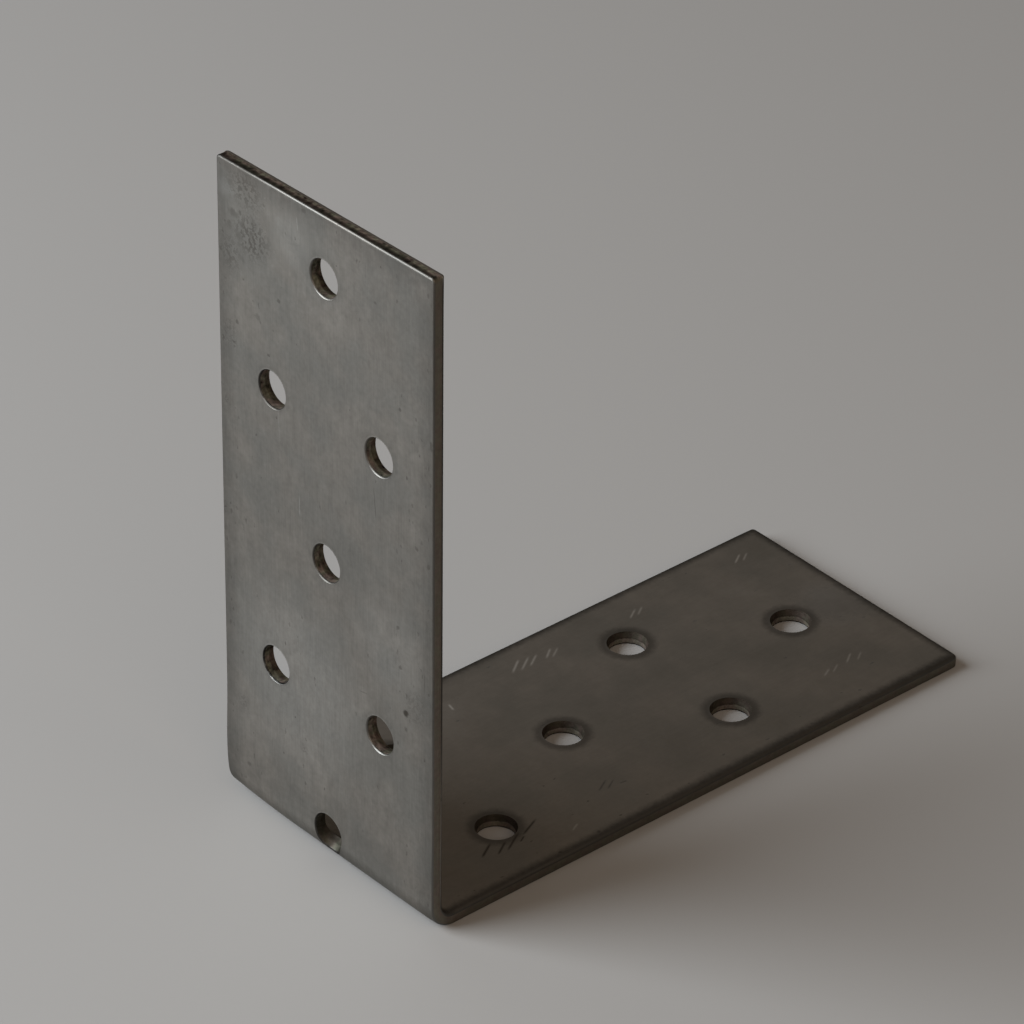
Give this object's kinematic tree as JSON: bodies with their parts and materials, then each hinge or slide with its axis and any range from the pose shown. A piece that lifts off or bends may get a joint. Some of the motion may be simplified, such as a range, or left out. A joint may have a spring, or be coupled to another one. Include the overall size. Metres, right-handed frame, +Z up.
{
  "type": "corner brace bracket",
  "caption": "L-shaped corner brace folded from one strip of punched sheet steel, with staggered screw holes on both legs, for joining two members at a right angle.",
  "frame": {"origin": "middle of the bracket's box, at the level of the surface that the foot lies on", "axes": "+X along the foot from the heel to its free end, +Y across the strip, +Z up along the upright"},
  "size_m": [0.0906, 0.04, 0.093],
  "materials": {
    "sheet": "bare stainless sheet, dull mill surface with fine grain along the strip, small pits and scratches, dark torn edges"
  },
  "bodies": {
    "root": {"angle_bracket": "sheet"}
  },
  "joints": []
}
